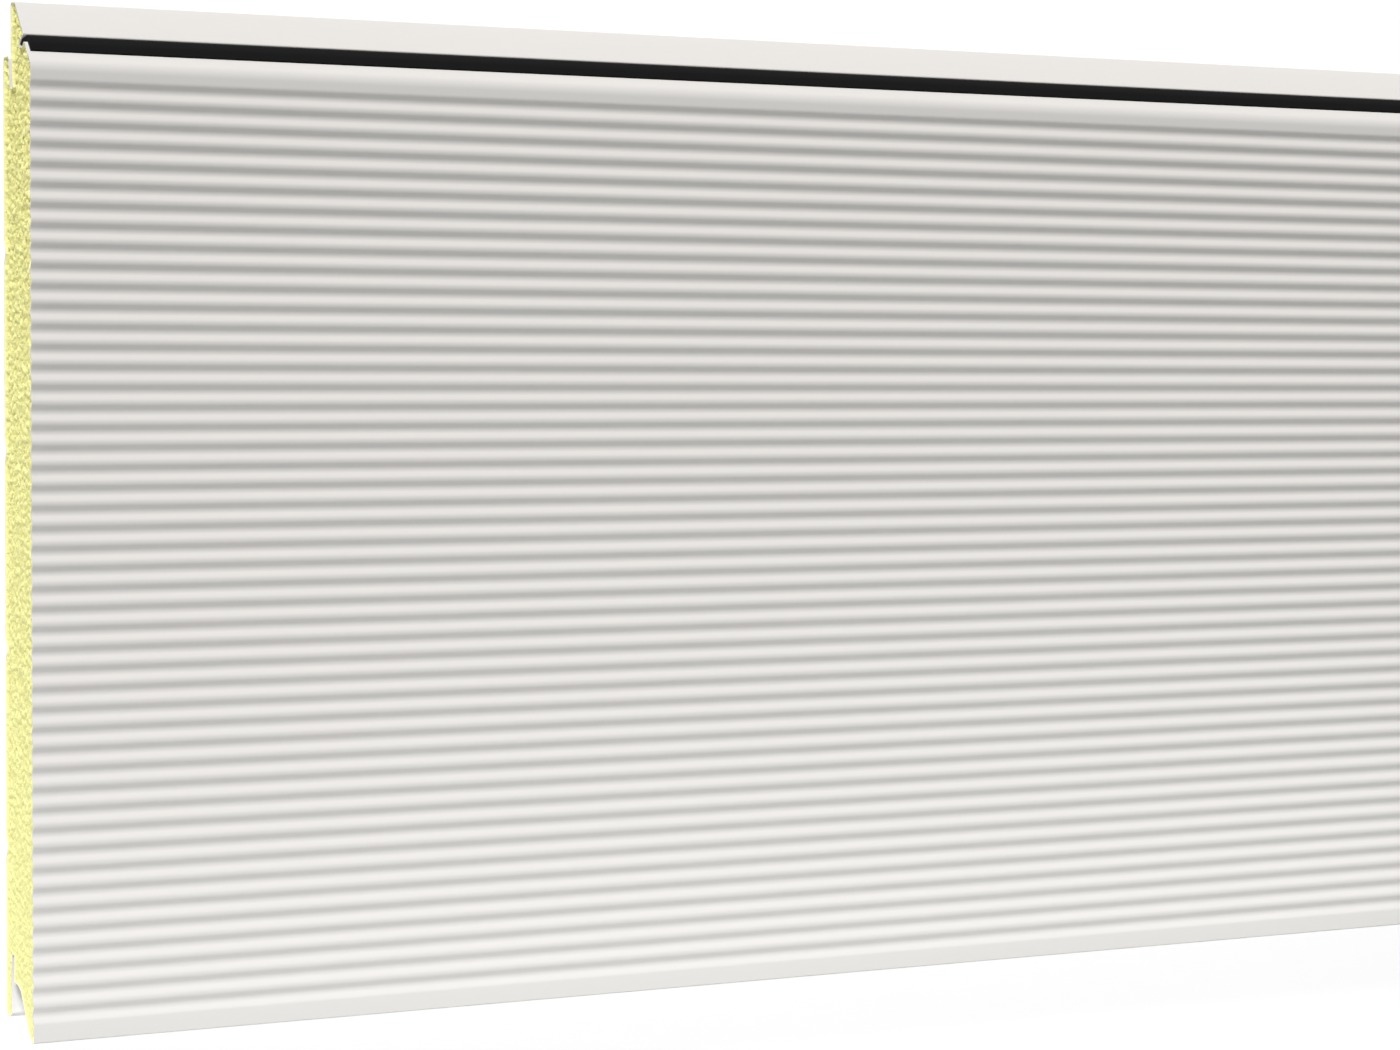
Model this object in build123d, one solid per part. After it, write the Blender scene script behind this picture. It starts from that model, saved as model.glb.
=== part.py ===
from build123d import *
import math
import os

# Insulated panel for a sectional garage door: two coated steel skins on a rigid foam core.
# The top edge is a tongue, the bottom edge a recess that takes the next panel's tongue,
# and a rubber seal clips into a groove in front of the tongue.
# Millimetres. X runs along the panel, Y up the door with the tongue at +Y, Z out of the waved face.
# The panel lies on its inner face, so Z = 0 is that face and the origin is the middle of its plan.
# In the section, depth is measured in from the waved face and height up from the lip's tip.

# Overall sizes
length = 2500.0
thickness = 40.0
cover_height = 500.0
joint_gap = 3.0
sheet = 0.5

# Waved face
wave_pitch = 10.1
wave_depth = 1.2
plain_top = 13.2
plain_bottom = 7.0

# Shoulder, the rolled edge above the waves, with the bump that the seal hooks over
shoulder_radius = 9.8
shoulder_angle = 38.0
shoulder_drop = 6.6
bump_rise = 6.0
bump_radius = 1.4

# Groove that grips the seal
groove_width = 4.4
groove_floor_rise = 2.9
groove_front_run = 2.3
groove_back_run = 1.0
groove_back_rise = 2.5
groove_radius = 0.8
nose_run = 4.9
nose_rise = 3.5
nose_radius = 0.9

# Tongue along the top edge
tongue_rise = 26.0
tongue_back = 28.9
tongue_width = 6.6
tongue_taper = 1.7
tongue_straight = 5.4
tongue_corner = 1.2
knee_radius = 2.5

# Recess along the bottom edge and its clearances round the next panel's tongue
top_clearance = 3.8
haunch_clearance = 3.1
heel_clearance = 2.9
heel_drop = 1.2
haunch_drop = 2.6
haunch_run = 4.8
recess_radius = 6.0
lip_width = 3.0
lip_radius = 0.9

# Edges of the two skins, turned into the foam with a slot between them
slot_width = 3.1
top_edge_length = 16.5
top_edge_lean = 2.0
bottom_edge_length = 14.2
turn_radius = 1.3

# Inner face, with its lips and the grooves rolled in to stiffen it
back_top_drop = 0.5
back_bottom_rise = 9.1
back_lip_radius = 2.5
rib_count = 4
rib_pitch = 101.0
rib_first = 95.0
rib_width = 12.0
rib_depth = 2.5
rib_edge_radius = 4.0
rib_root_radius = 2.0

# Rubber seal, a wedge that fills the joint in front of the shoulder, with a barb in the groove
seal_front = 0.5
seal_rise = 0.5
seal_face = 1.9
seal_angle = 52.0
seal_undercut = 1.8
seal_clearance = 0.4
barb_width = 1.6
barb_lift = 0.4
seal_radius = 1.5
seal_edge_radius = 0.8
barb_radius = 0.5

# Heights and depths that follow from the sizes above
face_top = cover_height - joint_gap
wave_start = face_top - plain_top
wave_count = int((wave_start - plain_bottom) / wave_pitch)
wave_end = wave_start - wave_count * wave_pitch
tongue_top = face_top + tongue_rise
tongue_front = tongue_back - tongue_width
knee = (tongue_front - tongue_taper, tongue_top - tongue_straight)
back_top = face_top - back_top_drop
slot_back = tongue_back + slot_width
recess_top = tongue_top - cover_height + top_clearance
middle = tongue_top / 2

shoulder_corner = face_top - shoulder_drop
bump_top = face_top + bump_rise
bump = (bump_top - shoulder_corner) * math.tan(math.radians(shoulder_angle))
groove_floor = face_top + groove_floor_rise
groove_front = bump + groove_front_run
groove_back = groove_front + groove_width
groove_wall = (groove_back - groove_back_run, groove_floor + groove_back_rise)
nose = (groove_wall[0] - nose_run, groove_wall[1] + nose_rise)


def at(depth, height):
    """A point of the section in the YZ plane, from its depth and its height."""
    return (height - middle, thickness - depth)


def bent(corners):
    """A line through corners of (depth, height, radius), rounded at each but the two ends."""
    points = [at(depth, height) for depth, height, radius in corners]
    radii = [radius for depth, height, radius in corners[1:-1]]
    return FilletPolyline(*points, radius=radii).edges()


def top_edge():
    """Outer skin from its turned edge over the tongue, groove and shoulder to the waves."""
    return bent([
        (tongue_back - top_edge_lean, back_top - top_edge_length, 0),
        (tongue_back, back_top, turn_radius),
        (tongue_back, tongue_top, tongue_corner),
        (tongue_front, tongue_top, tongue_corner),
        (*knee, knee_radius),
        (*nose, nose_radius),
        (*groove_wall, groove_radius),
        (groove_back, groove_floor, groove_radius),
        (groove_front, groove_floor, groove_radius),
        (bump, bump_top, bump_radius),
        (0, shoulder_corner, shoulder_radius),
        (0, wave_start, 0),
    ])


def waves():
    """Troughs and crests as arcs of one radius that meet in line, from crest to crest."""
    half = wave_depth / 2
    quarter = wave_pitch / 4
    edges = [TangentArc(at(0, wave_start), at(half, wave_start - quarter), tangent=(-1, 0))]
    for number in range(wave_count):
        top = wave_start - number * wave_pitch
        start = at(half, top - quarter)
        trough = at(wave_depth, top - 2 * quarter)
        end = at(half, top - 3 * quarter)
        edges.append(ThreePointArc(start, trough, end))
        if number < wave_count - 1:
            crest = at(0, top - 4 * quarter)
            edges.append(ThreePointArc(end, crest, at(half, top - 5 * quarter)))
    edges.append(TangentArc(at(0, wave_end), at(half, wave_end + quarter), tangent=(1, 0)))
    return edges


def bottom_edge():
    """Outer skin from the last wave round the lip and up the recess to its turned edge.

    The heel clears the nose of the next panel down, which lies one cover height lower, and the
    haunch clears its tongue.
    """
    heel = (nose[0] - heel_clearance, nose[1] - cover_height - heel_drop)
    haunch = (tongue_front - haunch_clearance, recess_top - haunch_drop)
    return bent([
        (0, wave_end, 0),
        (0, 0, lip_radius),
        (lip_width, 0, lip_radius),
        (*heel, recess_radius),
        (*haunch, recess_radius),
        (haunch[0] + haunch_run, recess_top, recess_radius),
        (tongue_back, recess_top, turn_radius),
        (tongue_back, recess_top + bottom_edge_length, 0),
    ])


def inner_face():
    """Inner skin from its lower turned edge round the lips and grooves to its upper one."""
    ribs = []
    for number in range(rib_count):
        height = rib_first + number * rib_pitch
        ribs += [
            (thickness, height - rib_width / 2, rib_edge_radius),
            (thickness - rib_depth, height, rib_root_radius),
            (thickness, height + rib_width / 2, rib_edge_radius),
        ]
    return bent([
        (slot_back, recess_top + bottom_edge_length, 0),
        (slot_back, back_bottom_rise, back_lip_radius),
        (thickness, back_bottom_rise, back_lip_radius),
        *ribs,
        (thickness, back_top, back_lip_radius),
        (slot_back, back_top, back_lip_radius),
        (slot_back - top_edge_lean, back_top - top_edge_length, 0),
    ])


def body_section():
    """The whole section but for the seal: steel and foam inside one closed outline."""
    slot_ends = [
        Line(at(tongue_back, recess_top + bottom_edge_length),
             at(slot_back, recess_top + bottom_edge_length)),
        Line(at(slot_back - top_edge_lean, back_top - top_edge_length),
             at(tongue_back - top_edge_lean, back_top - top_edge_length)),
    ]
    edges = [*top_edge(), *waves(), *bottom_edge(), *inner_face(), *slot_ends]
    return Face(Wire(edges))


def slot_floor(depth, height, side):
    """Foam across the ends of the two turned edges, which the inset of the outline leaves out."""
    low, high = sorted((height, height + side * sheet))
    front = depth - 2 * sheet
    back = depth + slot_width + 2 * sheet
    return Face(Wire.make_polygon([at(front, low), at(back, low), at(back, high), at(front, high)]))


def foam_section(body):
    """The outline moved in by one sheet, carried on to the ends of the turned edges."""
    foam = offset(body, -sheet, kind=Kind.INTERSECTION)
    top_floor = slot_floor(tongue_back - top_edge_lean, back_top - top_edge_length, -1)
    bottom_floor = slot_floor(tongue_back, recess_top + bottom_edge_length, 1)
    return foam + top_floor + bottom_floor


def seal_section(body):
    """A wedge over the shoulder and bump, with a barb down the groove behind them."""
    bottom = face_top + seal_rise
    front_height = bottom + seal_face
    over_bump = nose[1] - seal_clearance
    over_depth = seal_front + (over_bump - front_height) * math.tan(math.radians(seal_angle))
    barb_top = (groove_wall[0] - nose_run / 2, groove_wall[1] + nose_rise / 2 - seal_clearance)
    outside = bent([
        (bump, bottom + seal_undercut, 0),
        (seal_front, bottom, seal_edge_radius),
        (seal_front, front_height, seal_radius),
        (over_depth, over_bump, seal_radius),
        (*barb_top, seal_radius),
        (groove_wall[0] - seal_clearance, groove_floor + barb_lift + barb_width / 2, barb_radius),
        (groove_wall[0] - seal_clearance - barb_width, groove_floor + barb_lift, barb_radius),
        (bump, groove_floor + barb_lift, 0),
    ])
    inside = Line(at(bump, groove_floor + barb_lift), at(bump, bottom + seal_undercut))
    return Face(Wire([*outside, inside])) - body


def along(section):
    """A section carried the whole length of the panel, centred on X = 0."""
    plane = Plane.YZ.offset(-length / 2)
    return extrude(plane * section, length, dir=(1, 0, 0))


def panel():
    """The four pieces by name: the section is cut into them before it is carried along."""
    body = body_section()
    foam = foam_section(body)
    inner, outer = (body - foam).faces().sort_by(Axis.Y)
    return {
        "outer_skin": along(outer),
        "inner_skin": along(inner),
        "foam_core": along(foam),
        "seal_strip": along(seal_section(body)),
    }


os.makedirs("parts", exist_ok=True)
for name, piece in panel().items():
    export_step(piece, f"parts/{name}.step")
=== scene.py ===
# %% [markdown]
# # An insulated garage door panel
#
# A sectional garage door is a stack of flat panels like this one, each as wide as the door.
# The panel is a sandwich: a waved steel skin outside, a plainer steel skin inside, and yellow
# foam between them that was poured as a liquid and rose to fill the space. The top edge is a
# tongue, the bottom edge a recess, and a black rubber seal lies in front of the tongue.
#
# The finished size of every part already exists as a fixed frame. This notebook dresses that
# frame: it rebuilds the pieces that need finer shapes, and gives each one its finish.

# %% Load the fixed frame
import math

import bpy
import numpy as np
from mathutils import Matrix, Vector
from mathutils.geometry import delaunay_2d_cdt


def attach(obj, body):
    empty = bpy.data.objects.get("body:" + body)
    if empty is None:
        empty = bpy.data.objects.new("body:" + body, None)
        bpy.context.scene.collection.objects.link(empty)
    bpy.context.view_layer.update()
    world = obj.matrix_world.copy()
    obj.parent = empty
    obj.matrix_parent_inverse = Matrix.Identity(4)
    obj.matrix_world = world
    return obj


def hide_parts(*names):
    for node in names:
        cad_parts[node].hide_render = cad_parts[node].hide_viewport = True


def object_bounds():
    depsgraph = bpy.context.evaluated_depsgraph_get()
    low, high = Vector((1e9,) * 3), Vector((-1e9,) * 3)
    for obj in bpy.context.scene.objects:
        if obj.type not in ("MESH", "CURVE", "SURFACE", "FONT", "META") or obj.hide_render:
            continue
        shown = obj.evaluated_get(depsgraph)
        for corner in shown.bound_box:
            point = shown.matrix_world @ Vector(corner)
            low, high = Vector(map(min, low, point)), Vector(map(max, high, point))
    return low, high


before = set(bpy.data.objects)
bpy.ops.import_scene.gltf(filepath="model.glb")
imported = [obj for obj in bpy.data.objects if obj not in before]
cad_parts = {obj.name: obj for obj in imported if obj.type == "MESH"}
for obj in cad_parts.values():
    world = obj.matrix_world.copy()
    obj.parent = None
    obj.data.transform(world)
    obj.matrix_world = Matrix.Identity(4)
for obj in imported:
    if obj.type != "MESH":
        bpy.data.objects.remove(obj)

cad_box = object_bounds()
left_end, right_end = cad_box[0].x, cad_box[1].x
print("nodes", sorted(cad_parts), "panel from", tuple(cad_box[0]), "to", tuple(cad_box[1]))

# %% [markdown]
# ## The sizes of the section
#
# Everything on this panel is one shape carried along its length, so one drawing of the section
# gives the whole object. Points of the section are written as a depth, measured in from the
# waved face, and a height, measured up from the tip of the bottom lip, both in millimetres.
# Keeping the drawing's own numbers, and converting once at the end, makes them easy to check.
# The cover height is what one panel adds to the door, and its waved face is shorter than that by
# the gap between two panels.

# %% Sizes of the whole section, in millimetres
mm = 0.001
thickness = 40.0
sheet = 0.5
cover_height = 500.0
joint_gap = 3.0
tongue_rise = 26.0
face_top = cover_height - joint_gap
tongue_top = face_top + tongue_rise
middle = tongue_top / 2
print("waved face up to", face_top, "tongue up to", tongue_top, "middle at", middle)

# %% [markdown]
# ## Rounding a bent line
#
# Roll-formed steel has no sharp corners: every fold is an arc that runs smoothly into the flats
# beside it. Drawing each arc by hand would need its centre, which is awkward, so instead the
# section is a list of sharp corners with a radius each, and one function rounds them all at once
# with arrays. It also returns the direction square to the line at each point, because the other
# side of a sheet is the same line moved by the sheet's thickness.

# %% A function that rounds corners
arc_steps = 13
shortest_step = 1e-4


def rounded(corners):
    """Points and normals along a bent line of (depth, height, radius) corners.

    The tangent length is the radius times the tangent of half the turn. An arc starts that far
    before its corner, its centre lies one radius to the side that the line turns to, and its
    points are the centre less the radius times the normal as the heading swings from the first
    run to the next. Normals point to the left of the direction of travel.
    """
    table = np.array(corners, float)
    points = np.stack([table[:, 1] - middle, thickness - table[:, 0]], axis=1)
    radii = table[1:-1, 2]
    runs = np.diff(points, axis=0)
    headings = np.arctan2(runs[:, 1], runs[:, 0])
    turns = (np.diff(headings) + np.pi) % (2 * np.pi) - np.pi
    ahead = np.stack([np.cos(headings), np.sin(headings)], axis=1)
    left = np.stack([-np.sin(headings), np.cos(headings)], axis=1)
    bend = (np.sign(turns) * radii)[:, None]
    start = points[1:-1] - (radii * np.tan(np.abs(turns) / 2))[:, None] * ahead[:-1]
    centre = start + bend * left[:-1]
    swing = headings[:-1, None] + turns[:, None] * np.linspace(0, 1, arc_steps)
    normals = np.stack([-np.sin(swing), np.cos(swing)], axis=2)
    arcs = centre[:, None] - bend[:, None] * normals
    path = np.concatenate([points[:1], arcs.reshape(-1, 2), points[-1:]])
    square = np.concatenate([left[:1], normals.reshape(-1, 2), left[-1:]])
    steps = np.linalg.norm(np.diff(path, axis=0), axis=1)
    fresh = np.concatenate([[True], steps > shortest_step])
    return path[fresh], square[fresh]


# %% [markdown]
# ## The outer skin's line
#
# One sheet makes the sloped tongue, the groove for the seal, the rolled shoulder, forty-seven
# waves, the lip and the recess. The waves are a zigzag with rounded corners: arcs of one radius
# with a short straight flank between them, the shape that rollers press into a sheet. The
# zigzag's corners lie outside the wave by the amount that the rounding takes off, and the radius
# follows from that amount.

# %% The waves
wave_pitch = 10.1
wave_depth = 1.45
wave_slope = math.radians(24.2)
wave_count = 47
plain_top = 13.2
wave_start = face_top - plain_top
wave_end = wave_start - wave_count * wave_pitch
overshoot = (math.tan(wave_slope) * wave_pitch / 2 - wave_depth) / 2
wave_radius = overshoot / (1 / math.cos(wave_slope) - 1)
first_bend = overshoot / math.tan(wave_slope)


def wave_corners():
    """A trough and a crest by turns, half a pitch apart, from the first trough to the last.

    The first and the last corner lie where the plain sheet bends into the zigzag.
    """
    number = np.arange(2 * wave_count - 1)
    height = wave_start - wave_pitch / 2 * (number + 1)
    depth = np.where(number % 2 == 0, wave_depth + overshoot, -overshoot)
    turns = np.stack([depth, height, np.full(len(number), wave_radius)], axis=1)
    first = (0, wave_start - first_bend, wave_radius)
    last = (0, wave_end + first_bend, wave_radius)
    return [first, *turns, last]


print("waves from", round(wave_start, 2), "to", round(wave_end, 2), "radius", round(wave_radius, 2))

# %% [markdown]
# ## The edges that meet the next panels
#
# Above the waves the sheet rolls back over a shoulder to a small bump, dips into the groove that
# grips the seal, comes forward again to a blunt nose, and climbs the tongue in one straight slope.
# The slope lets the panel above turn past it where the door bends from the wall to the ceiling.
# The recess at the bottom fits over the tongue of the panel below, which lies one cover height
# lower. So its corners aren't drawn freely: each one is a corner of that tongue plus a clearance,
# and the two still fit when a size changes.

# %% The shoulder above the waves, and the groove behind it
shoulder_angle = math.radians(38.0)
shoulder_radius = 9.8
shoulder_drop = 6.6
bump_rise = 6.0
bump_radius = 1.4
shoulder_corner = face_top - shoulder_drop
bump_top = face_top + bump_rise
bump = (bump_top - shoulder_corner) * math.tan(shoulder_angle)

groove_width = 4.4
groove_rise = 2.9
groove_front_run = 2.3
groove_back_run = 1.0
groove_back_rise = 2.5
groove_radius = 0.8
nose_run = 4.9
nose_rise = 3.5
nose_radius = 0.9
groove_floor = face_top + groove_rise
groove_front = bump + groove_front_run
groove_back = groove_front + groove_width
groove_wall = (groove_back - groove_back_run, groove_floor + groove_back_rise)
nose = (groove_wall[0] - nose_run, groove_wall[1] + nose_rise)
groove_corners = [
    (*nose, nose_radius),
    (*groove_wall, groove_radius),
    (groove_back, groove_floor, groove_radius),
    (groove_front, groove_floor, groove_radius),
    (bump, bump_top, bump_radius),
    (0, shoulder_corner, shoulder_radius),
]
print("bump depth", round(bump, 2), "nose depth", round(nose[0], 2), "height", round(nose[1], 2))

# %% The tongue, and the edge of the sheet that is turned into the foam behind it
tongue_back = 28.9
tongue_front = 23.0
tongue_radius = 1.2
turn_radius = 1.3
edge_lean = 2.0
top_edge = 16.5
back_drop = 0.5
back_top = face_top - back_drop
tongue_corners = [
    (tongue_back - edge_lean, back_top - top_edge, 0),
    (tongue_back, back_top, turn_radius),
    (tongue_back, tongue_top, tongue_radius),
    (tongue_front, tongue_top, tongue_radius),
]
slope = math.degrees(math.atan2(tongue_front - nose[0], tongue_top - nose[1]))
print("the tongue's front leans back by", round(slope, 1), "degrees")

# %% The lip, and the recess that clears the tongue of the panel below
lip_width = 3.0
lip_radius = 0.9
recess_radius = 6.0
top_clearance = 3.8
heel_clearance = 2.9
heel_drop = 1.2
haunch_clearance = 3.8
haunch_drop = 2.6
haunch_run = 4.8
bottom_edge = 14.2
recess_top = tongue_top - cover_height + top_clearance
heel = (nose[0] - heel_clearance, nose[1] - cover_height - heel_drop)
haunch = (tongue_front - haunch_clearance, recess_top - haunch_drop)
recess_corners = [
    (0, 0, lip_radius),
    (lip_width, 0, lip_radius),
    (*heel, recess_radius),
    (*haunch, recess_radius),
    (haunch[0] + haunch_run, recess_top, recess_radius),
    (tongue_back, recess_top, turn_radius),
    (tongue_back, recess_top + bottom_edge, 0),
]
print("recess top at", round(recess_top, 2), "heel at", round(heel[0], 2), round(heel[1], 2))

# %% The whole line of the outer skin
outer_corners = tongue_corners + groove_corners + wave_corners() + recess_corners
outer_path, outer_normals = rounded(outer_corners)
print("outer skin: corners", len(outer_corners), "points along its line", len(outer_path))

# %% [markdown]
# ## The inner skin's line
#
# The skin that faces into the garage is flat, with four shallow grooves that keep it from
# drumming. It rolls over a lip at the top and the bottom, and its edges are tucked into the foam.

# %% The line of the inner skin
slot_width = 3.1
back_bottom = 9.1
back_radius = 2.5
rib_count = 4
rib_first = 95.0
rib_pitch = 101.0
rib_width = 12.0
rib_depth = 2.5
rib_edge_radius = 4.0
rib_root_radius = 2.0
slot_back = tongue_back + slot_width
rib_heights = rib_first + rib_pitch * np.arange(rib_count)
ribs = np.stack([
    np.stack([np.full(rib_count, depth), rib_heights + rise, np.full(rib_count, radius)], axis=1)
    for depth, rise, radius in (
        (thickness, -rib_width / 2, rib_edge_radius),
        (thickness - rib_depth, 0, rib_root_radius),
        (thickness, rib_width / 2, rib_edge_radius),
    )
], axis=1).reshape(-1, 3)
inner_path, inner_normals = rounded([
    (slot_back, recess_top + bottom_edge, 0),
    (slot_back, back_bottom, back_radius),
    (thickness, back_bottom, back_radius),
    *ribs,
    (thickness, back_top, back_radius),
    (slot_back, back_top, back_radius),
    (slot_back - edge_lean, back_top - top_edge, 0),
])
print("inner skin: grooves at", rib_heights, "points along its line", len(inner_path))

# %% [markdown]
# ## From a line to a mesh
#
# A piece that is the same all along is a grid: one direction goes round its section, the other
# along the panel. The two ends are closed with strips of four-sided faces between the outer and
# the inner side of the sheet, so the mesh is a closed solid with clean faces and no big polygons.

# %% Arrays into a mesh
sharp_angle = math.radians(50)


def build_mesh(name, points, quads, finish_of_face, triangles=()):
    """A mesh object from arrays of corners and faces, with a finish number for each face."""
    mesh = bpy.data.meshes.new(name)
    mesh.from_pydata(points.tolist(), [], [*quads.tolist(), *triangles])
    mesh.polygons.foreach_set("material_index", np.asarray(finish_of_face, np.int32))
    mesh.polygons.foreach_set("use_smooth", np.ones(len(mesh.polygons), bool))
    mesh.set_sharp_from_angle(angle=sharp_angle)
    mesh.update()
    piece = bpy.data.objects.new(name, mesh)
    bpy.context.scene.collection.objects.link(piece)
    return piece


# %% A check that measures a mesh
litres_in_cubic_metre = 1000


def measure(piece):
    """Prints a piece's faces, whether it is closed, and its volume by the divergence rule.

    The volume is a sixth of the sum, over the triangles, of one corner dotted with the cross
    product of the other two. It is positive when the faces point outwards.
    """
    mesh = piece.data
    mesh.calc_loop_triangles()
    corners = np.empty(len(mesh.loop_triangles) * 3, np.int32)
    mesh.loop_triangles.foreach_get("vertices", corners)
    places = np.empty(len(mesh.vertices) * 3)
    mesh.vertices.foreach_get("co", places)
    a, b, c = places.reshape(-1, 3)[corners.reshape(-1, 3)].transpose(1, 0, 2)
    litres = np.einsum("ij,ij->i", a, np.cross(b, c)).sum() / 6 * litres_in_cubic_metre
    following = np.roll(corners.reshape(-1, 3), -1, axis=1).ravel()
    edges = np.sort(np.stack([corners, following], axis=1), axis=1)
    shared = np.unique(edges, axis=0, return_counts=True)[1]
    print(piece.name, "triangles", len(corners) // 3, "closed", bool((shared == 2).all()),
          "litres", round(litres, 4))


# %% A strip carried along the panel
def carried(name, side_a, side_b):
    """A strip between two lines of the section, carried from the left end to the right end.

    The ring goes out along side a and back along side b. A grid of ring by end gives the long
    faces, and each end is closed by faces that join the two sides point by point. The long faces
    get finish 0, the ends finish 1.
    """
    ring = np.concatenate([side_a, side_b[::-1]]) * mm
    size = len(ring)
    ends = [np.column_stack([np.full(size, x), ring]) for x in (left_end, right_end)]
    here = np.arange(size)
    after = (here + 1) % size
    long_faces = np.stack([here, after, after + size, here + size], axis=1)
    along = np.arange(len(side_a) - 1)
    across = size - 1 - along
    right_cap = np.stack([along, along + 1, across - 1, across], axis=1) + size
    left_cap = right_cap[:, ::-1] - size
    quads = np.concatenate([long_faces, left_cap, right_cap])
    finish = np.repeat([0, 1], [size, 2 * len(along)])
    return build_mesh(name, np.concatenate(ends), quads, finish)


# %% The two steel skins
outer_skin = carried("outer_skin_steel", outer_path, outer_path + sheet * outer_normals)
inner_skin = carried("inner_skin_steel", inner_path, inner_path + sheet * inner_normals)
measure(outer_skin)
measure(inner_skin)

# %% [markdown]
# ## The rubber seal
#
# The seal is extruded rubber, a flap that lies on the shoulder, with a barb that clips into the
# groove behind it. The edge of the next panel up closes on the flap. The seal's underside is the
# steel's own line from the shoulder to the groove, so it is cut out of the outer skin's path
# rather than drawn again: the two then touch everywhere without overlapping. Rubber is cut to
# length with a knife, which leaves it a little short of the steel and on a slant.

# %% The seal's outside
seal_clearance = 0.4
flap_edge = (4.8, face_top + 0.8)
flap_front = (6.4, face_top + 5.2)
crown = (8.9, nose[1] - seal_clearance)
neck = (groove_wall[0] - nose_run / 2, groove_wall[1] + nose_rise / 2 - seal_clearance)
flap_edge_radius = 0.4
flap_radius = 6.0
crown_radius = 1.5
barb_radius = 0.5
barb_width = 1.6
barb_rise = 0.8
barb_bottom = groove_floor + seal_clearance
barb_back = groove_wall[0] - seal_clearance
into_steel = 2.5
under_steel = (flap_edge[0] + into_steel * math.cos(shoulder_angle),
               flap_edge[1] - into_steel * math.sin(shoulder_angle))
seal_path = rounded([
    (*under_steel, 0),
    (*flap_edge, flap_edge_radius),
    (*flap_front, flap_radius),
    (*crown, crown_radius),
    (*neck, crown_radius),
    (barb_back, barb_bottom + barb_rise, barb_radius),
    (barb_back - barb_width, barb_bottom, barb_radius),
    (bump, barb_bottom, 0),
])[0]
print("seal: points along its outside", len(seal_path))


# %% The seal's whole outline
def crossing(path, start, end, number):
    """Where a path crosses the line through two points: the index before it, and the point.

    A point's side of the line is the cross product of its distance from the start and the
    line's own direction. Where the sign changes, the share of the way to the next point is the
    first one's side over the difference of both. A number picks one of several crossings.
    """
    run = end - start
    side = (path[:, 0] - start[0]) * run[1] - (path[:, 1] - start[1]) * run[0]
    before = np.flatnonzero(side[:-1] * side[1:] < 0)[number]
    share = side[before] / (side[before] - side[before + 1])
    return before, path[before] + share * (path[before + 1] - path[before])


in_groove, groove_point = crossing(outer_path, seal_path[-2], seal_path[-1], 2)
on_shoulder, shoulder_point = crossing(outer_path, seal_path[0], seal_path[1], -1)
under_seal = outer_path[in_groove + 1:on_shoulder + 1]
seal_ring = np.concatenate([[groove_point], seal_path[-2:0:-1], [shoulder_point], under_seal[::-1]])
print("seal: points round it", len(seal_ring), "on the steel", len(under_seal))

# %% [markdown]
# ## Filling an end
#
# The ends of the seal and of the foam are odd shapes with deep slots, which a fan or a grid of
# faces can't fill. A Delaunay triangulation can: it keeps the outline's own edges, and joins the
# points between them into triangles that are as even as they can be. For the foam, thousands of
# free points inside the outline carry the rough surface.

# %% Triangles over an end
inside_only = 1
merge_distance = 1e-7


def filled(ring, loose):
    """Triangles over a closed anticlockwise ring and the loose points inside it."""
    points = np.concatenate([ring, loose])
    here = np.arange(len(ring))
    edges = np.stack([here, np.roll(here, -1)], axis=1).tolist()
    places = [Vector(point) for point in points]
    kept, _, faces = delaunay_2d_cdt(places, edges, [], inside_only, merge_distance)[:3]
    assert len(kept) == len(points)
    return np.array(faces)


# %% A solid with filled ends
def solid(name, ring, loose, left_x, right_x):
    """A ring carried along the panel, each end filled with triangles at its own X positions.

    The grid of ring by end gives the long faces. The right end's triangles run anticlockwise
    seen from the right, and the left end uses the same triangles turned over.
    """
    size, count = len(ring), len(ring) + len(loose)
    section = np.concatenate([ring, loose]) * mm
    points = np.concatenate([np.column_stack([x, section]) for x in (left_x, right_x)])
    here = np.arange(size)
    after = (here + 1) % size
    long_faces = np.stack([here, after, after + count, here + count], axis=1)
    fill = filled(ring, loose)
    triangles = [*fill[:, ::-1].tolist(), *(fill + count).tolist()]
    return build_mesh(name, points, long_faces, np.zeros(size + len(triangles)), triangles)


# %% The seal, cut a little short with a knife
cut_short = 1.8
slant_depth = 14.5
slant_run = 5.5


def short_by(ring):
    """How far the seal stops before the panel's end, in metres: nothing at the barb, most in front.

    The share of the way from the barb to the flap is eased, so the cut is a smooth slant.
    """
    share = np.clip((ring[:, 1] - (thickness - slant_depth)) / slant_run, 0, 1)
    return cut_short * mm * share * share * (3 - 2 * share)


cut = short_by(seal_ring)
seal = solid("rubber_seal", seal_ring, np.empty((0, 2)), left_end + cut, right_end - cut)
measure(seal)

# %% [markdown]
# ## The foam
#
# The foam is sawn through at both ends of the panel, and a saw tears it: the cut is a mass of
# rounded lumps two or three millimetres wide with dark gaps between them, drawn out a little the
# way the saw went. The lumps are real shapes here, not a painted pattern, because the light from
# above catches the top of each one. Each end is a slightly shaken grid of points, and a formula
# of random heights pushes every point in by its own depth. Nothing stands out past the cut, so
# the panel's length stays what it is.

# %% The foam's outline, evenly spaced
foam_grain = 0.75
foam_line = np.concatenate([outer_path + sheet * outer_normals, inner_path + sheet * inner_normals])


def even(path, spacing):
    """The closed line with evenly spaced points: each coordinate read off against the length."""
    closed = np.concatenate([path, path[:1]])
    run = np.concatenate([[0], np.cumsum(np.linalg.norm(np.diff(closed, axis=0), axis=1))])
    stops = np.linspace(0, run[-1], int(run[-1] / spacing), endpoint=False)
    return np.stack([np.interp(stops, run, closed[:, side]) for side in (0, 1)], axis=1)


foam_ring = even(foam_line, foam_grain)
print("foam: points round it", len(foam_ring))


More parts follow.
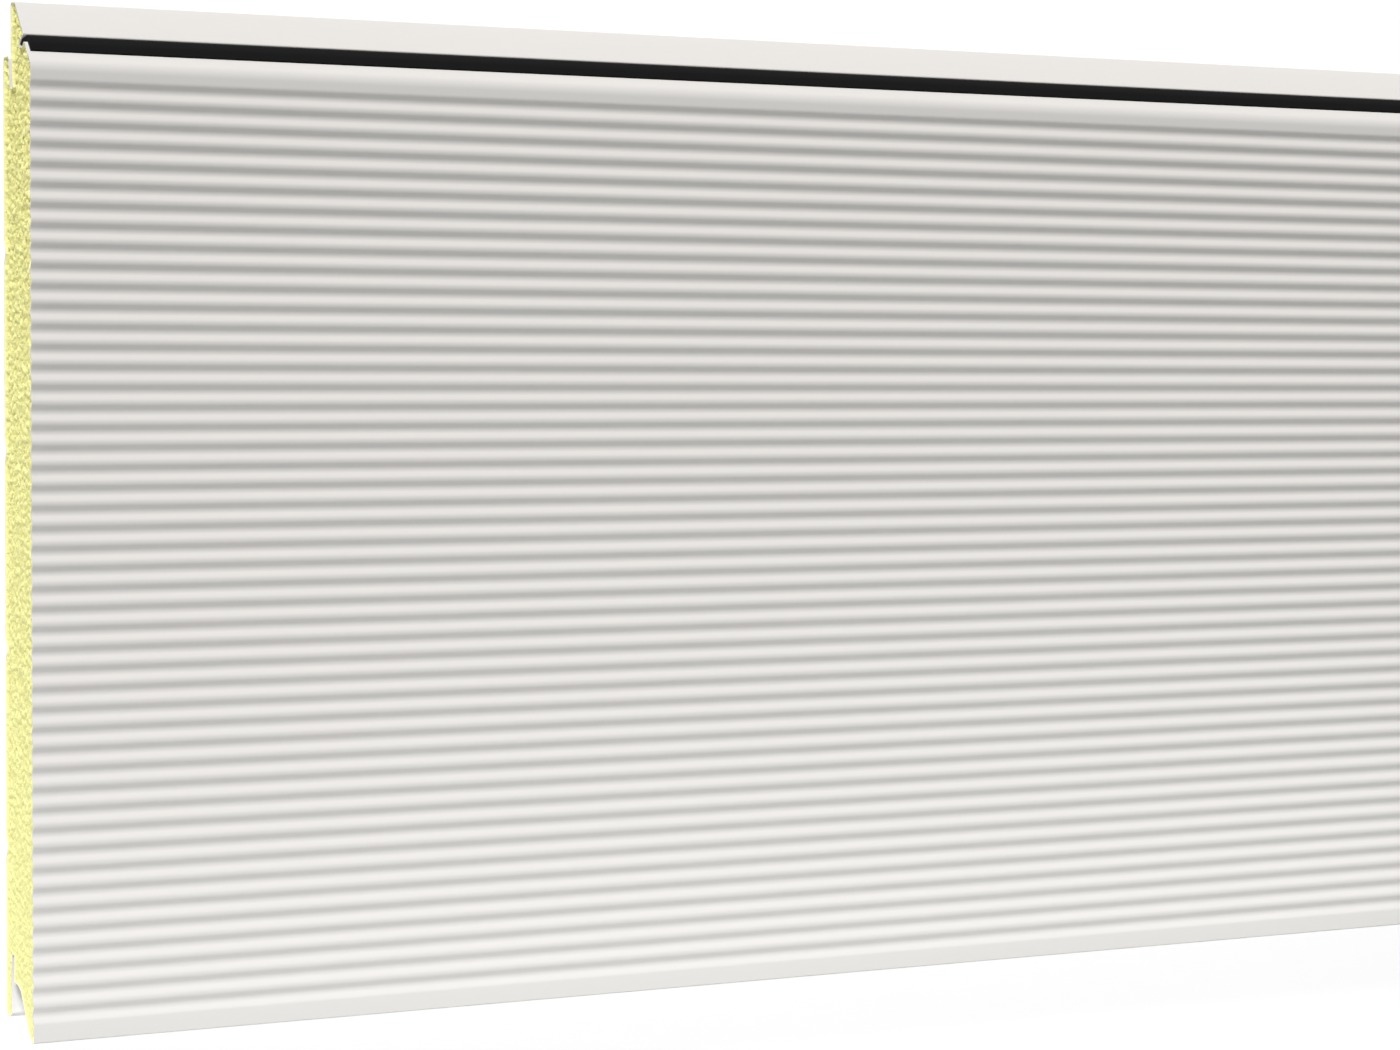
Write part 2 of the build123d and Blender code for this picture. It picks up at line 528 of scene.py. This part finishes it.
# %% Loose points inside the outline
def inside(ring, rows, columns):
    """Which points of a grid lie inside a ring, as an array of rows (Y) by columns (Z).

    A point is inside where a line from it towards -Y crosses the ring an odd number of times.
    For each column, each edge that spans its Z gives one crossing height.
    """
    start, end = ring, np.roll(ring, -1, axis=0)
    spans = (start[:, 1] > columns[:, None]) != (end[:, 1] > columns[:, None])
    rise = np.where(spans, end[:, 1] - start[:, 1], 1)
    share = (columns[:, None] - start[:, 1]) / rise
    crossed = np.where(spans, start[:, 0] + share * (end[:, 0] - start[:, 0]), np.inf)
    return (crossed[None] < rows[:, None, None]).sum(axis=2) % 2 == 1


rows = np.arange(-middle, middle, foam_grain)
columns = np.arange(0, thickness, foam_grain)
margin = 0.55
jitter = 0.2
held = inside(foam_ring, rows, columns)
for away, up in ((margin, 0), (-margin, 0), (0, margin), (0, -margin)):
    held &= inside(foam_ring, rows + away, columns + up)
chance = np.random.default_rng(7)
spots = np.stack(np.meshgrid(rows, columns, indexing="ij"), axis=2)[held]
spots = spots + chance.uniform(-jitter, jitter, spots.shape)
print("foam: points inside it", len(spots))


# %% Smooth hills and packed lumps
table_size = 256


def hills(place, size, chance):
    """Smooth random heights from 0 to 1: a grid of random numbers, eased from one to the next."""
    table = chance.random((table_size, table_size))
    cell = np.floor(place / size).astype(int)
    share = place / size - cell
    share = share * share * (3 - 2 * share)
    row, column = cell.T % table_size
    next_row, next_column = (cell.T + 1) % table_size
    low = table[row, column] + share[:, 0] * (table[next_row, column] - table[row, column])
    high = table[row, next_column]
    high = high + share[:, 0] * (table[next_row, next_column] - high)
    return low + share[:, 1] * (high - low)


def lumps(place, size, chance):
    """Heights of packed lumps, 1 on top and 0 in the gaps.

    Each cell of a grid holds one lump's middle at a random spot. The height is the distance to
    the second nearest middle less the distance to the nearest, in cells, cut off at 1.
    """
    table = chance.random((table_size, table_size, 2))
    cell = np.floor(place / size).astype(int)
    away = []
    for step in np.ndindex(3, 3):
        near = cell + np.array(step) - 1
        row, column = near.T % table_size
        spot = near + table[row, column]
        away.append(np.linalg.norm(spot - place / size, axis=1))
    first, second = np.sort(away, axis=0)[:2]
    return np.clip(second - first, 0, 1)


# %% The torn foam
deepest = 2.4
foam_inset = 0.2
push_size = 2.2
push_by = 1.6
large_size = 2.4
small_size = 1.4
hill_size = 6.0
draw_out = np.array([[0.5, -0.15], [0.15, 1.0]])


def torn(place, seed):
    """Depth of the torn foam in millimetres at points of the section.

    The points are first pushed about by smooth hills, so no lump is a tidy shape. Large lumps,
    twice as long as they are wide, give most of the depth, small ones roughen them, and the
    hills vary the cut from place to place. The cut gets rougher from the bottom to the top.
    """
    chance = np.random.default_rng(seed)
    push = np.stack([hills(place, push_size, chance) for side in (0, 1)], axis=1) - 0.5
    pushed = place + push_by * push
    large = 1 - lumps(pushed @ draw_out, large_size, chance) ** 0.8
    small = 1 - lumps(pushed, small_size, chance)
    depth = 1.7 * large + 0.3 * small + 0.5 * hills(place, hill_size, chance) - 0.35
    roughness = 0.91 + 0.34 * place[:, 0] / middle
    return np.clip(roughness * depth, 0, deepest)


edge_depth = np.full(len(foam_ring), foam_inset)
depths = [np.concatenate([edge_depth, torn(spots, seed)]) * mm for seed in (11, 12)]
foam = solid("foam_filling", foam_ring, spots, left_end + depths[0], right_end - depths[1])
measure(foam)
print("foam: mean depth of the cut", round(float(depths[0].mean() / mm), 2), "mm")

# %% [markdown]
# ## Materials as formulas
#
# A material is a small program made of nodes. Two classes let the program be written as the
# arithmetic that it is: a value from a node can be added, multiplied or subtracted like a
# number, and each step lays down one Math node.

# %% A class for shader values
class Value:
    """A node's output that takes part in arithmetic."""

    def __init__(self, finish, socket):
        self.finish = finish
        self.socket = socket

    def __add__(self, other):
        return self.finish.maths("ADD", self, other)

    def __sub__(self, other):
        return self.finish.maths("SUBTRACT", self, other)

    def __rsub__(self, other):
        return self.finish.maths("SUBTRACT", other, self)

    def __mul__(self, other):
        return self.finish.maths("MULTIPLY", self, other)

    __radd__ = __add__
    __rmul__ = __mul__


# %% A class for materials
class Finish:
    """A material whose nodes are laid down by calls."""

    def __init__(self, name):
        self.material = bpy.data.materials.new(name)
        self.material.use_nodes = True
        self.tree = self.material.node_tree
        self.tree.nodes.clear()
        self.output = self.tree.nodes.new("ShaderNodeOutputMaterial")

    def feed(self, socket, value):
        """A link where the value comes from a node, and a plain number or colour otherwise."""
        if isinstance(value, Value):
            self.tree.links.new(value.socket, socket)
        else:
            socket.default_value = value

    def node(self, kind, settings=None, inputs=None, result=0):
        """One node: its settings first, then its inputs by name or number."""
        made = self.tree.nodes.new("ShaderNode" + kind)
        for setting, choice in (settings or {}).items():
            setattr(made, setting, choice)
        for socket, value in (inputs or {}).items():
            self.feed(made.inputs[socket], value)
        return Value(self, made.outputs[result])

    def maths(self, operation, first, second):
        """One Math node on two values or numbers."""
        return self.node("Math", {"operation": operation}, {0: first, 1: second})

    def limit(self, value):
        """The value kept between 0 and 1."""
        return self.node("Clamp", None, {"Value": value})

    def blend(self, share, first, second):
        """From the first colour to the second as the share goes from 0 to 1."""
        return self.node("Mix", {"data_type": "RGBA"}, {0: share, 6: first, 7: second}, 2)

    def stretched(self, place, scale):
        """The place with each axis multiplied by its own number."""
        return self.node("VectorMath", {"operation": "MULTIPLY"}, {0: place, 1: scale})

    def noise(self, place, scale, detail=2.0, roughness=0.5):
        """Soft random spots, about one per unit of scale along a metre."""
        wanted = {"Vector": place, "Scale": scale, "Detail": detail, "Roughness": roughness}
        return self.node("TexNoise", None, wanted)

    def bump(self, height, distance, strength=1.0, under=None):
        """A normal tilted as if the surface stood proud by the height times the distance."""
        wanted = {"Height": height, "Distance": distance, "Strength": strength}
        if under is not None:
            wanted["Normal"] = under
        return self.node("Bump", None, wanted)

    def surface(self, **sockets):
        """The Principled shader with its sockets set, joined to the output."""
        shader = self.node("BsdfPrincipled", None, {
            name.replace("_", " "): value for name, value in sockets.items()
        })
        self.tree.links.new(shader.socket, self.output.inputs["Surface"])
        return self.material


def rgb(red, green, blue):
    """A plain colour, fully opaque."""
    return (red, green, blue, 1.0)


# %% [markdown]
# ## Coated steel
#
# The skins are galvanised steel that was painted as a flat coil and baked before it was rolled to
# shape. The paint is satin, a warm off-white. It has a very fine orange-peel texture, and faint
# streaks along the panel where the rollers rubbed it. The inner skin is embossed with a fine
# pebbled pattern, which hides fingerprints and small dents.

# %% Paint for the outer skin, the inner skin, and the bare cut edges
def coated(name, light, dark, emboss):
    """Satin paint: two close tints, streaks along the panel, orange peel, and an emboss height."""
    finish = Finish(name)
    place = finish.node("TexCoord", result=3)
    cloud = finish.noise(place, 3.0, 3.0)
    streak = finish.noise(finish.stretched(place, (1.2, 260.0, 260.0)), 1.0, 4.0)
    peel = finish.noise(place, 900.0, 2.0)
    tint = finish.limit(0.65 * cloud + 0.2 * streak + 0.15)
    satin = 0.52 + 0.10 * streak + 0.06 * cloud
    normal = finish.bump(peel + 0.4 * streak, 0.012 * mm)
    if emboss:
        grid = {"Vector": place, "Scale": 420.0}
        pebble = finish.node("TexVoronoi", {"feature": "SMOOTH_F1"}, grid)
        normal = finish.bump(finish.limit(1.15 - 1.6 * pebble), emboss, 0.8, normal)
    return finish.surface(
        Base_Color=finish.blend(tint, light, dark), Roughness=satin, Normal=normal,
        Specular_IOR_Level=0.3, IOR=1.48,
    )


def cut_steel():
    """The sawn edge of the sheet: bright zinc and steel, scratched across by the blade."""
    finish = Finish("cut_steel_edge")
    place = finish.node("TexCoord", result=3)
    scratch = finish.noise(finish.stretched(place, (1.0, 900.0, 5200.0)), 1.0, 3.0)
    return finish.surface(
        Base_Color=finish.blend(scratch, rgb(0.66, 0.65, 0.62), rgb(0.80, 0.78, 0.74)),
        Roughness=0.42 + 0.2 * scratch, Metallic=0.1, Normal=finish.bump(scratch, 0.05 * mm),
    )


outer_paint = coated("outer_paint", rgb(0.84, 0.815, 0.785), rgb(0.80, 0.776, 0.748), 0)
inner_paint = coated("inner_paint", rgb(0.88, 0.87, 0.85), rgb(0.84, 0.83, 0.81), 0.16 * mm)
bare_edge = cut_steel()
for skin, paint in ((outer_skin, outer_paint), (inner_skin, inner_paint)):
    skin.data.materials.append(paint)
    skin.data.materials.append(bare_edge)
print("materials on the outer skin", [material.name for material in outer_skin.data.materials])

# %% [markdown]
# ## Foam and rubber
#
# Rigid polyurethane foam is a pale lemon yellow, with soft random patches of darker tone. Shade is
# painted into the deep gaps of the cut: the colour darkens with how far a point lies in from the
# end.
# Fine pores, under a millimetre wide, are left to the bump.
#
# The rubber is matt and black, with the faint lines of the die that it was pressed through.

# %% Foam and rubber materials
def sawn_foam():
    """Yellow foam, paler on the lumps with painted shade in the gaps, and pores in the bump."""
    full_shade_depth = 1.9 * mm
    finish = Finish("yellow_foam")
    place = finish.node("TexCoord", result=3)
    along = finish.node("SeparateXYZ", None, {0: place})
    from_middle = finish.maths("ABSOLUTE", along, 0.0)
    # Painted shade: the deeper a point lies in from the cut end, the nearer its colour goes to dark
    # olive.
    depth = finish.limit((right_end - from_middle) * (1 / full_shade_depth))
    patch = finish.noise(place, 190.0, 3.0, 0.6)
    pore = finish.node("TexVoronoi", None, {"Vector": place, "Scale": 1100.0})
    # The mix carries the painted shade by depth and random patches of tone; at 1 it gives the dark
    # olive.
    shade = finish.limit(0.75 * depth + 0.5 * patch - 0.2)
    return finish.surface(
        Base_Color=finish.blend(shade, rgb(0.93, 0.92, 0.45), rgb(0.75, 0.71, 0.26)),
        Roughness=0.85 + 0.1 * patch, Specular_IOR_Level=0.2,
        Normal=finish.bump(pore + 0.5 * patch, 0.3 * mm, 0.7),
    )


def black_rubber():
    """Matt black rubber with lines along its length and a little dust."""
    finish = Finish("black_rubber")
    place = finish.node("TexCoord", result=3)
    line = finish.noise(finish.stretched(place, (0.6, 900.0, 900.0)), 1.0, 3.0)
    dust = finish.noise(place, 60.0, 5.0, 0.65)
    shade = finish.limit(0.5 * line + 0.6 * dust - 0.1)
    return finish.surface(
        Base_Color=finish.blend(shade, rgb(0.006, 0.006, 0.006), rgb(0.012, 0.012, 0.0125)),
        Roughness=0.74 + 0.16 * dust, Specular_IOR_Level=0.12,
        Normal=finish.bump(line + 0.4 * dust, 0.06 * mm),
    )


foam.data.materials.append(sawn_foam())
seal.data.materials.append(black_rubber())
print("materials", [material.name for material in bpy.data.materials])

# %% [markdown]
# ## Fixing the pieces to the frame
#
# Each new piece stands for one solid of the frame and moves with the only body there is. The
# record's material slot that matches its finish is printed beside it.

# %% Ride and replace
for piece, node, slot in (
    (outer_skin, "outer_skin", "outer_steel"),
    (inner_skin, "inner_skin", "inner_steel"),
    (foam, "foam_core", "foam"),
    (seal, "seal_strip", "rubber"),
):
    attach(piece, "root")
    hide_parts(node)
    print(piece.name, "stands for", node, "with the finish", slot)

# %% [markdown]
# ## The floor and the light
#
# The photograph shows the panel on pure white with hardly a shadow. The floor is a pale sheet
# that gives off just enough light towards the camera to reach white where it is lit, so that only
# the panel's shadow is left on it. For every other ray it is plain pale paint, and throws a
# natural amount of light back on the panel.

# %% A white floor that keeps the shadow
def studio_floor():
    """Pale paint for light, and near-white towards the camera and in mirrors."""
    finish = Finish("studio_floor")
    ray = finish.tree.nodes.new("ShaderNodeLightPath")
    seen = finish.maths("MAXIMUM", Value(finish, ray.outputs["Is Camera Ray"]),
                        Value(finish, ray.outputs["Is Glossy Ray"]))
    place = finish.node("TexCoord", result=3)
    mottle = finish.noise(place, 1.5, 2.0)
    plain = finish.node("BsdfDiffuse", None, {
        "Color": finish.blend(mottle, rgb(0.80, 0.80, 0.80), rgb(0.78, 0.78, 0.78)),
    })
    faint = finish.node("BsdfDiffuse", None, {"Color": rgb(0.24, 0.24, 0.24)})
    glow = finish.node("Emission", None, {"Color": rgb(1.0, 1.0, 1.0), "Strength": 0.86})
    bright = finish.node("AddShader", None, {0: faint, 1: glow})
    shader = finish.node("MixShader", None, {0: seen, 1: plain, 2: bright})
    finish.tree.links.new(shader.socket, finish.output.inputs["Surface"])
    return finish.material


def sheet_of_floor(half, drop):
    """A flat square round the origin, a little under the panel."""
    mesh = bpy.data.meshes.new("floor")
    corners = [(x * half, y * half, -drop) for x, y in ((-1, -1), (1, -1), (1, 1), (-1, 1))]
    mesh.from_pydata(corners, [], [(0, 1, 2, 3)])
    mesh.materials.append(studio_floor())
    floor = bpy.data.objects.new("floor", mesh)
    bpy.context.scene.collection.objects.link(floor)
    return floor


floor = sheet_of_floor(9.0, 0.2 * mm)
print("floor from", tuple(floor.data.vertices[0].co), "to", tuple(floor.data.vertices[2].co))

# %% [markdown]
# ## Lights
#
# A broad key light shines across the panel from the tongue edge, so each wave is bright on the
# side that faces the tongue and dark on the other. A long lamp hangs beyond the bottom edge and
# fades towards the tongue, so the waves get paler, softer and a little cooler towards the bottom.
# A lamp beyond each cut end lights the foam, and the sky gives a little to everything.

# %% The lamps
def aimed(name, kind, place, target, **settings):
    """A light at a place, turned so that it shines towards a target."""
    data = bpy.data.lights.new(name, kind)
    for setting, value in settings.items():
        setattr(data, setting, value)
    lamp = bpy.data.objects.new(name, data)
    lamp.location = place
    lamp.rotation_euler = (Vector(target) - Vector(place)).to_track_quat("-Z", "Y").to_euler()
    bpy.context.scene.collection.objects.link(lamp)
    return lamp


aimed("key", "SUN", (-0.7, 1.51, 1.0), (0, 0, 0), energy=3.4, angle=math.radians(20))
left_lamp = aimed("left_lamp", "AREA", (-2.6, -1.0, 0.15), (left_end, 0, 0.02),
                  energy=10.0, shape="SQUARE", size=0.6)
right_lamp = aimed("right_lamp", "AREA", (2.6, -1.0, 0.15), (right_end, 0, 0.02),
                   energy=22.0, shape="SQUARE", size=0.6)
low_lamp = aimed("low_lamp", "AREA", (-0.85, -0.67, 0.56), (-0.85, -0.6, 0),
                 energy=4.35, color=(0.96, 0.99, 1.0), shape="RECTANGLE", size=1.6, size_y=0.3)
for lamp in (left_lamp, right_lamp, low_lamp):
    lamp.visible_camera = False
print("lights", [lamp.name for lamp in bpy.data.lights])

# %% The sky, faint on the panel and white to the camera
sky = bpy.data.worlds.new("sky")
sky.use_nodes = True
bpy.context.scene.world = sky
sky_nodes = sky.node_tree.nodes
backdrop = sky_nodes["Background"]
backdrop.inputs["Color"].default_value = rgb(1.0, 1.0, 1.0)
sky_ray = sky_nodes.new("ShaderNodeLightPath")
sky_level = sky_nodes.new("ShaderNodeMapRange")
sky_level.inputs["To Min"].default_value = 0.045
sky_level.inputs["To Max"].default_value = 1.0
sky.node_tree.links.new(sky_ray.outputs["Is Camera Ray"], sky_level.inputs["Value"])
sky.node_tree.links.new(sky_level.outputs["Result"], backdrop.inputs["Strength"])
print("sky level", round(sky_level.inputs["To Min"].default_value, 3))

# %% [markdown]
# ## The camera
#
# The camera's place was worked out from the photograph: the panel's long edges and its end give
# four directions and a length that only one place, aim and lens agree with. It stands beyond the
# cut end, high over the waved face, with the tongue at the top of the picture.

# %% The camera
camera_data = bpy.data.cameras.new("camera")
camera_data.lens = 99.93
camera_data.sensor_width = 36.0
camera_data.clip_end = 60.0
camera = bpy.data.objects.new("camera", camera_data)
stand = (-1.9240, 0.07965, 1.8888)
forward = Vector((0.49637, -0.04067, -0.86716)).normalized()
upward = Vector((0.01712, 0.99917, -0.03706))
right = forward.cross(upward).normalized()
turn = Matrix((right, right.cross(forward), -forward)).transposed()
camera.matrix_world = Matrix.Translation(stand) @ turn.to_4x4()
bpy.context.scene.collection.objects.link(camera)
bpy.context.scene.camera = camera
bpy.context.scene.view_settings.view_transform = "Standard"
print("camera at", tuple(round(value, 3) for value in camera.location))
